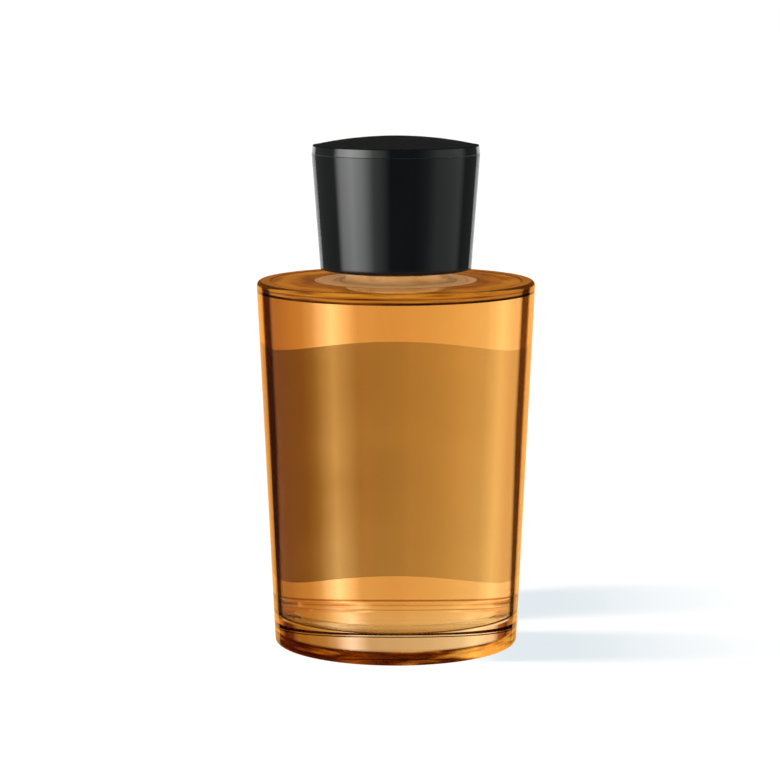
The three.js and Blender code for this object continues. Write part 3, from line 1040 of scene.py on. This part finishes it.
def link_to(light, receivers, blockers=()):
    """Makes a light reach only some pieces. If blockers are given, nothing else blocks it."""
    group = bpy.data.collections.new(light.name + "_receivers")
    for receiver in receivers:
        group.objects.link(receiver)
    light.light_linking.receiver_collection = group
    if blockers:
        group = bpy.data.collections.new(light.name + "_blockers")
        for blocker in blockers:
            group.objects.link(blocker)
        light.light_linking.blocker_collection = group


def floor():
    size = FLOOR_HALF_SIZE
    vertices = [(-size, -size, 0), (size, -size, 0), (size, size, 0), (-size, size, 0)]
    obj = new_object("floor", vertices, [(0, 1, 2, 3)])
    m = Material("floor", Base_Color=(FLOOR_ALBEDO, FLOOR_ALBEDO, FLOOR_ALBEDO, 1), Roughness=1.0,
                 Specular_IOR_Level=0.0)
    obj.data.materials.append(m.material)
    hide_from(obj, "transmission", "glossy")
    return obj


def emitter(name, vertices, faces, emission, pieces):
    """A see-through sheet of light that only some pieces reflect. Its emission is a colour, or a
    function that makes one from the nodes."""
    obj = new_object(name, vertices, faces)
    material = bpy.data.materials.new(name)
    material.use_nodes = True
    n = Nodes(material.node_tree)
    n.nodes.remove(n.nodes["Principled BSDF"])
    shader = n.nodes.new("ShaderNodeEmission")
    n.link(emission(n) if callable(emission) else emission, shader.inputs["Color"])
    clear = n.nodes.new("ShaderNodeBsdfTransparent")
    both = n.nodes.new("ShaderNodeAddShader")
    n.link(shader.outputs["Emission"], both.inputs[0])
    n.link(clear.outputs["BSDF"], both.inputs[1])
    n.link(both.outputs["Shader"], n.nodes["Material Output"].inputs["Surface"])
    obj.data.materials.append(material)
    hide_from(obj, "camera", "diffuse", "transmission", "volume_scatter", "shadow")
    link_to(obj, pieces)


def drum(name, low, high, from_left, to_left, emission, pieces):
    """Part of a drum of light round the bottle, between two heights, and from one bearing to
    another in degrees to the left of the front."""
    vertices, faces = [], []
    for k in range(DRUM_STEPS + 1):
        bearing = math.radians(from_left + (to_left - from_left) * k / DRUM_STEPS)
        x, y = -DRUM_RADIUS * math.sin(bearing), -DRUM_RADIUS * math.cos(bearing)
        vertices += [(x, y, low), (x, y, high)]
        if k:
            faces.append((2 * k - 2, 2 * k, 2 * k + 1, 2 * k - 1))
    emitter(name, vertices, faces, emission, pieces)


def strips(n):
    """The strips that the cap reflects. They brighten with height from below the floor to the
    middle of the bottle, and fade out well above it."""
    x, y, z = n.split(n.coordinates())
    left = n.math("ARCTAN2", n.math("MULTIPLY", x, -1), n.math("MULTIPLY", y, -1))
    colour = n.ramp(n.math("DEGREES", left), CAP_STRIPS)
    low, high = CAP_STRIPS_RISE
    gain = n.remap(z, low * MM, high * MM, 1, CAP_STRIPS_GAIN)
    start, end = CAP_STRIPS_FADE
    faded = n.remap(z, start * MM, end * MM, smooth=True)
    return n.mix(faded, n.mix(1, colour, gain, "MULTIPLY"), BLACK)


def reflections(cap_pieces, glass):
    """The cap reflects a bright strip at the left, a dim one at the right and a sheet low at the
    back, which its edges catch. The glass reflects a dim amber sheet above it all round, and a
    bright one low at the back, which its sides catch."""
    reach = CAP_STRIPS_REACH
    low, high = SHOULDER_SHEET_BOTTOM, SHOULDER_SHEET_TOP
    drum("cap_strips", DRUM_BOTTOM, CAP_STRIPS_TOP, -reach, reach, strips, cap_pieces)
    drum("cap_edge_sheet", DRUM_BOTTOM, CAP_SHEET_TOP, *BACK_SHEET, CAP_SHEET, cap_pieces)
    drum("shoulder_sheet", low, high, 0, 360, SHOULDER_SHEET, [glass])
    drum("glass_edge_sheet", DRUM_BOTTOM, EDGE_SHEET_TOP, *BACK_SHEET, EDGE_SHEET, [glass])


def shadow_card(name, bottom, top):
    """A hidden card that throws a shadow. Its bottom and top each give a near and a far Y."""
    card = new_object(name, [
        (CARD_X, bottom[0], CARD_BOTTOM),
        (CARD_X, bottom[1], CARD_BOTTOM),
        (CARD_X, top[1], CARD_TOP),
        (CARD_X, top[0], CARD_TOP),
    ], [(0, 1, 2, 3)])
    m = Material(name, Base_Color=(0.5, 0.5, 0.5, 1), Roughness=1.0)
    card.data.materials.append(m.material)
    hide_from(card, "camera", "diffuse", "glossy", "transmission", "volume_scatter")
    return card


def shadow_streaks(ground):
    """Sunlight from the left, kept off the floor only by two hidden cards. The strip between
    their shadows is where the glass would focus the light. The suns together add SUN_COLOUR to
    what the floor shows."""
    cards = [shadow_card(name, *outline) for name, outline in SHADOW_CARDS.items()]
    for elevation in SUN_ELEVATIONS:
        height = math.radians(elevation)
        data = bpy.data.lights.new("sun", "SUN")
        data.angle = math.radians(SUN_ANGLE)
        data.color = SUN_COLOUR
        data.energy = math.pi / FLOOR_ALBEDO / len(SUN_ELEVATIONS) / math.sin(height)
        sun = bpy.data.objects.new("sun_%d" % elevation, data)
        sun.rotation_euler = (0, height - math.pi / 2, 0)
        bpy.context.scene.collection.objects.link(sun)
        link_to(sun, [ground], cards)


# ---------------------------------------------------------------- assembly

camera()
ground = floor()
world()

bottle_pieces = [
    finish_piece(bottle_glass(), [flint_glass(), neck_ring(), shoulder_rim()], "bottle",
                 "bottle_glass"),
    finish_piece(aftershave_lotion(), [amber_lotion(), lotion_under_shoulder()], "bottle",
                 "aftershave_lotion"),
    finish_piece(rear_label(), [label_film()], "bottle", "rear_label"),
]
for piece in bottle_pieces:
    hide_from(piece, "shadow", "diffuse")
finish_piece(pour_insert(), [insert_plastic()], "bottle", "pour_insert")
finish_piece(sealing_liner(), [liner_foam()], "liner", "sealing_liner")
finish_piece(threaded_inner_cap(), [inner_cap_plastic()], "cap", "threaded_inner_cap")
gloss = black_gloss()
cap_pieces = [
    finish_piece(cap_shell(), [gloss], "cap", "cap_shell"),
    finish_piece(cap_top(), [gloss], "cap", "cap_top"),
]
for piece in cap_pieces:
    hide_from(piece, "diffuse", "glossy")
reflections(cap_pieces, bottle_pieces[0])
shadow_streaks(ground)

scene = bpy.context.scene
scene.view_settings.view_transform = "Standard"
scene.cycles.transmission_bounces = 24
scene.cycles.max_bounces = 32
